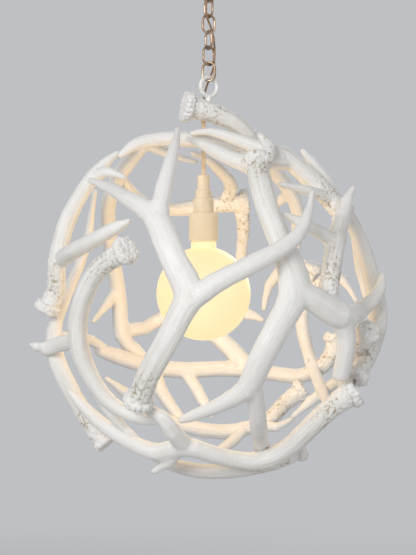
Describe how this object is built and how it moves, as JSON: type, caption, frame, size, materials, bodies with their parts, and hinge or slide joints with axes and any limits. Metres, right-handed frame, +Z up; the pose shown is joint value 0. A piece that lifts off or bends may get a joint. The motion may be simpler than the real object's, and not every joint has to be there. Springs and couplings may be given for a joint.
{
  "type": "antler chandelier",
  "caption": "Round hanging light: an open ball of interlaced cast antlers on a ring, chain and ceiling canopy, with a frosted globe bulb on a flat cord inside.",
  "frame": {"origin": "middle of the ceiling strap's upper face, on the ceiling and on the chain's axis", "axes": "+Z up, -Y towards the viewer of the picture, +X to that viewer's right and along the strap's slots"},
  "size_m": [0.4732, 0.4587, 0.7137],
  "materials": {
    "antler_white": "matt white paint over cast resin",
    "white_metal": "white enamel",
    "antique_gold": "antique brown gold",
    "plain_steel": "zinc plated",
    "cord_brown": "brown sheath",
    "cord_clear": "gold lamp cord",
    "socket_white": "ivory white",
    "cover_white": "white sleeve",
    "phenolic": "dark moulding",
    "contact_brass": "bright",
    "bulb_glass": "frosted, lit warm",
    "bulb_cap_metal": "rolled thread"
  },
  "bodies": {
    "ceiling": {"ceiling_strap": "plain_steel", "nipple": "plain_steel", "lock_nut": "plain_steel", "canopy": "antique_gold", "canopy_loop": "antique_gold", "chain_cord": "cord_brown"},
    "link_6": {"chain_link_6": "antique_gold"},
    "link_5": {"chain_link_5": "antique_gold"},
    "link_4": {"chain_link_4": "antique_gold"},
    "link_3": {"chain_link_3": "antique_gold"},
    "link_2": {"chain_link_2": "antique_gold"},
    "link_1": {"chain_link_1": "antique_gold"},
    "ball": {"antler_front_fork": "antler_white", "antler_bottom_front": "antler_white", "antler_right_palm": "antler_white", "antler_left_curve": "antler_white", "antler_top": "antler_white", "antler_left_limb": "antler_white", "antler_top_right": "antler_white", "antler_right_upright": "antler_white", "antler_top_left": "antler_white", "antler_right_limb": "antler_white", "antler_right_low": "antler_white", "antler_left_low": "antler_white", "antler_bottom": "antler_white", "antler_back_low": "antler_white", "antler_back_right": "antler_white", "antler_back_bottom": "antler_white", "antler_back_top": "antler_white", "joint_screws": "plain_steel", "eye_bolt": "white_metal", "bolt_washer": "plain_steel", "bolt_nut": "plain_steel"},
    "lamp": {"drop_cord": "cord_clear", "cord_grip": "socket_white", "socket_cap": "socket_white", "socket_cover": "cover_white", "socket_insulator": "phenolic", "screw_shell": "contact_brass", "centre_contact": "contact_brass", "terminal_screws": "contact_brass"},
    "bulb": {"bulb_globe": "bulb_glass", "bulb_cap": "bulb_cap_metal", "bulb_contact": "contact_brass"}
  },
  "joints": [
    {"name": "link_6_swing", "type": "hinge", "parent": "ceiling", "child": "link_6", "pos_m": [0, 0, -0.059], "axis": [0.6428, -0.766, 0], "range_deg": [-10, 10], "deforming": ["chain_cord"]},
    {"name": "link_5_swing", "type": "hinge", "parent": "link_6", "child": "link_5", "pos_m": [0, 0, -0.0794], "axis": [0.866, 0.5, 0], "range_deg": [-10, 10]},
    {"name": "link_4_swing", "type": "hinge", "parent": "link_5", "child": "link_4", "pos_m": [0, 0, -0.1007], "axis": [0.5592, -0.829, 0], "range_deg": [-10, 10]},
    {"name": "link_3_swing", "type": "hinge", "parent": "link_4", "child": "link_3", "pos_m": [0, 0, -0.122], "axis": [0.8988, 0.4384, 0], "range_deg": [-10, 10]},
    {"name": "link_2_swing", "type": "hinge", "parent": "link_3", "child": "link_2", "pos_m": [0, 0, -0.1433], "axis": [0.454, -0.891, 0], "range_deg": [-10, 10]},
    {"name": "link_1_swing", "type": "hinge", "parent": "link_2", "child": "link_1", "pos_m": [0, 0, -0.1646], "axis": [0.7986, 0.6018, 0], "range_deg": [-10, 10]},
    {"name": "ball_swing", "type": "hinge", "parent": "link_1", "child": "ball", "pos_m": [0, 0, -0.1859], "axis": [0.9397, -0.342, 0], "range_deg": [-10, 10]},
    {"name": "lamp_swing", "type": "hinge", "parent": "ball", "child": "lamp", "pos_m": [-0.007, 0.0085, -0.246], "axis": [0, 1, 0], "range_deg": [-10, 10]},
    {"name": "bulb_unscrew", "type": "hinge", "parent": "lamp", "child": "bulb", "pos_m": [-0.007, 0.0085, -0.38], "axis": [0, 0, 1], "range_deg": [-1080, 0]}
  ]
}
